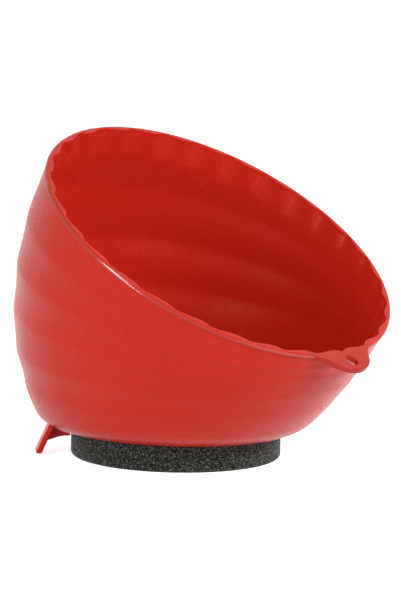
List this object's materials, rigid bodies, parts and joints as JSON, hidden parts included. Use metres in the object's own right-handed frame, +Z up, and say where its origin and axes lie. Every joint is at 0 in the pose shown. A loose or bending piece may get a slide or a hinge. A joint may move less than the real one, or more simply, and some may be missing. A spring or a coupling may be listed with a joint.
{
  "type": "magnetic parts tray",
  "caption": "Small-parts bowl with a slanted round mouth, scalloped rim and hanging tab, turning on a round magnet foot with pry feet behind.",
  "frame": {"origin": "centre of the foot's flat underside, on the surface that the tray stands on", "axes": "+Z up along the foot's axis and the screw; -Y towards the hanging tab, the low side of the mouth; the bowl is the same on both sides of the plane x = 0"},
  "size_m": [0.1462, 0.1545, 0.1257],
  "materials": {
    "bowl_plastic": "fine-grained satin polypropylene",
    "cap_plastic": "satin",
    "boot_rubber": "pebbled leather grain",
    "ferrite": "ground ferrite",
    "plate_steel": "zinc plated",
    "hub_nylon": "moulded",
    "slip_nylon": "moulded",
    "bush_steel": "turned",
    "screw_steel": "zinc plated",
    "washer_steel": "zinc plated",
    "spring_steel": "blued spring steel",
    "insert_nylon": "moulded"
  },
  "bodies": {
    "magnet_foot": {"base_boot": "boot_rubber", "ring_magnet": "ferrite", "top_plate": "plate_steel", "hub_core": "hub_nylon", "slip_ring": "slip_nylon", "pivot_bush": "bush_steel", "centre_screw": "screw_steel", "clamp_washer": "washer_steel", "disc_spring": "spring_steel", "flat_washer": "washer_steel", "lock_nut": "screw_steel", "nut_insert": "insert_nylon"},
    "tray": {"bowl": "bowl_plastic", "hanging_tab": "bowl_plastic", "centre_cap": "cap_plastic"}
  },
  "joints": [
    {"name": "tray_turn", "type": "hinge", "parent": "magnet_foot", "child": "tray", "pos_m": [0, 0, 0.0128], "axis": [0, 0, 1], "continuous": true}
  ]
}
